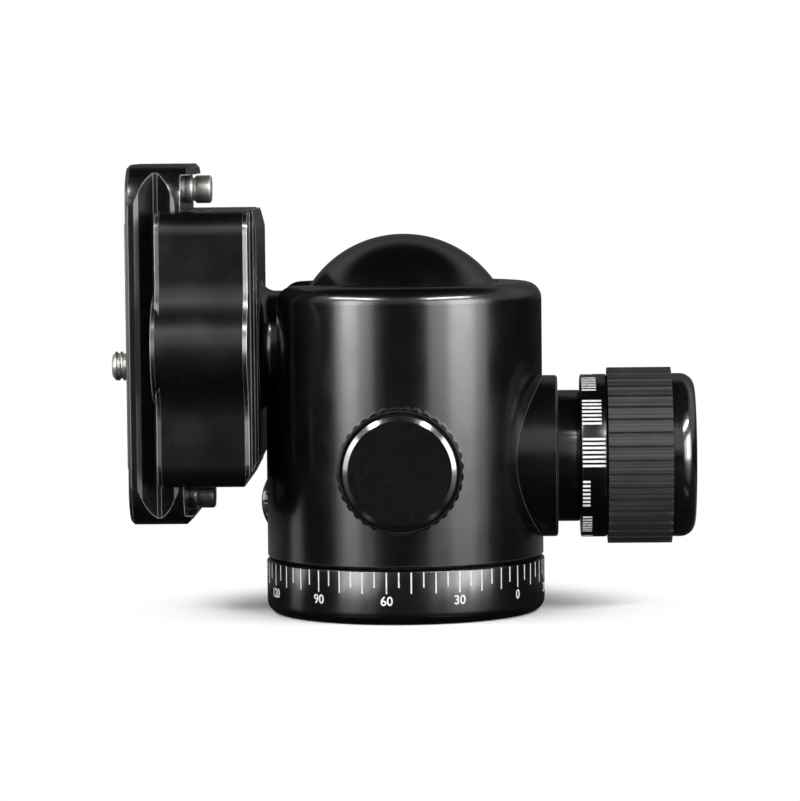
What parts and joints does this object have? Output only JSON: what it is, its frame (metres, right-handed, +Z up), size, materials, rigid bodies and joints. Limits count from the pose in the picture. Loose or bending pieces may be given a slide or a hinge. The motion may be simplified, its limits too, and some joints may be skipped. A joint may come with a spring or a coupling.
{
  "type": "tripod ball head",
  "caption": "Black tripod ball head with a panning base, drop notch, ribbed main knob with a friction dial, and a dovetail clamp holding a camera plate.",
  "frame": {"origin": "centre of the base's bottom face, on the pan axis, at the mouth of the tripod thread", "axes": "+Z up along the pan axis; main lock knob along +X; friction knob along -Y; the stem, clamp and camera plate point along -X at rest"},
  "size_m": [0.1254, 0.0821, 0.0969],
  "materials": {
    "black_anodised": "bead-blasted and black anodised, satin",
    "black_gloss": "polished and black anodised, glossy",
    "black_rubber": "moulded rubber, matte",
    "steel": "turned stainless steel",
    "brass": "turned brass",
    "acetal": "natural acetal"
  },
  "bodies": {
    "base": {"panning_base": "black_anodised", "tripod_insert": "steel", "base_screws": "steel", "pan_spindle": "steel"},
    "housing": {"ball_housing": "black_anodised", "housing_floor": "black_anodised", "pan_bushing": "acetal", "lower_pan_washer": "acetal", "upper_pan_washer": "acetal", "disc_spring": "steel", "lower_ball_cup": "brass", "upper_ball_ring": "acetal", "lock_bushing": "brass"},
    "main_plunger": {"lock_wedge": "steel"},
    "main_knob": {"lock_screw": "steel", "knob_neck_sleeve": "black_anodised", "knob_core": "black_anodised", "knob_grip": "black_rubber", "knob_end_cap": "black_gloss"},
    "dial": {"friction_dial": "black_anodised"},
    "drag_plunger": {"drag_shoe": "brass"},
    "drag_turner": {"drag_screw": "steel", "drag_knob": "black_anodised", "drag_knob_face": "black_gloss"},
    "pan_plunger": {"pan_brake_shoe": "brass"},
    "pan_turner": {"pan_lock_screw": "steel", "pan_knob": "black_anodised", "pan_knob_face": "black_gloss"},
    "ball_and_stem": {"ball": "black_anodised"},
    "platform": {"clamp_body": "black_anodised", "stem_bolt": "steel", "guide_pins": "steel", "jaw_springs": "steel"},
    "jaw": {"clamp_jaw": "black_anodised"},
    "clamp_turner": {"clamp_screw": "steel", "clamp_knob": "black_anodised", "clamp_knob_face": "black_gloss"},
    "plate": {"camera_plate": "black_anodised", "plate_pads": "black_rubber", "stop_screws": "steel"},
    "keeper": {"screw_keeper": "steel"},
    "screw": {"camera_screw": "steel"}
  },
  "joints": [
    {"name": "pan", "type": "hinge", "parent": "base", "child": "housing", "pos_m": [0, 0, 0.0121], "axis": [0, 0, 1], "continuous": true},
    {"name": "main_lock_travel", "type": "slide", "parent": "housing", "child": "main_plunger", "axis": [1, 0, 0], "range_m": [0, 0.00156]},
    {"name": "main_lock_turn", "type": "hinge", "parent": "main_plunger", "child": "main_knob", "pos_m": [0.0282, 0, 0.0332], "axis": [1, 0, 0], "range_deg": [0, 450]},
    {"name": "friction_dial_turn", "type": "hinge", "parent": "main_knob", "child": "dial", "pos_m": [0.0378, 0, 0.0332], "axis": [1, 0, 0], "range_deg": [-90, 180]},
    {"name": "drag_travel", "type": "slide", "parent": "housing", "child": "drag_plunger", "axis": [0, -1, 0], "range_m": [0, 0.001]},
    {"name": "drag_turn", "type": "hinge", "parent": "drag_plunger", "child": "drag_turner", "pos_m": [0, -0.0263, 0.0332], "axis": [0, -1, 0], "range_deg": [0, 360]},
    {"name": "pan_lock_travel", "type": "slide", "parent": "housing", "child": "pan_plunger", "axis": [-0.7071, 0.7071, 0], "range_m": [0, 0.0007335]},
    {"name": "pan_lock_turn", "type": "hinge", "parent": "pan_plunger", "child": "pan_turner", "pos_m": [-0.01846, 0.01846, 0.0218], "axis": [-0.7071, 0.7071, 0], "range_deg": [0, 330]},
    {"name": "ball_tilt", "type": "hinge", "parent": "housing", "child": "ball_and_stem", "pos_m": [0, 0, 0.0574], "axis": [0, 1, 0], "range_deg": [0, 115]},
    {"name": "ball_spin", "type": "hinge", "parent": "ball_and_stem", "child": "platform", "pos_m": [0, 0, 0.0574], "axis": [-1, 0, 0], "continuous": true},
    {"name": "jaw_travel", "type": "slide", "parent": "platform", "child": "jaw", "axis": [0, 1, 0], "range_m": [0, 0.004]},
    {"name": "clamp_knob_turn", "type": "hinge", "parent": "jaw", "child": "clamp_turner", "pos_m": [-0.0427, 0, 0.0579], "axis": [0, 1, 0], "range_deg": [0, 1440]},
    {"name": "plate_slide", "type": "slide", "parent": "platform", "child": "plate", "axis": [0, 0, 1], "range_m": [-0.0012, 0.0001]},
    {"name": "screw_slide", "type": "slide", "parent": "plate", "child": "keeper", "axis": [0, 0, 1], "range_m": [-0.00685, 0.01695]},
    {"name": "camera_screw_turn", "type": "hinge", "parent": "keeper", "child": "screw", "pos_m": [-0.0572, 0, 0.0534], "axis": [-1, 0, 0], "continuous": true}
  ],
  "couplings": [
    {"joint": "main_lock_travel", "follows": "main_lock_turn", "m_per_rad": 0.00019894},
    {"joint": "drag_travel", "follows": "drag_turn", "m_per_rad": 0.00015915},
    {"joint": "pan_lock_travel", "follows": "pan_lock_turn", "m_per_rad": 0.00012732},
    {"joint": "jaw_travel", "follows": "clamp_knob_turn", "m_per_rad": 0.00015915}
  ]
}
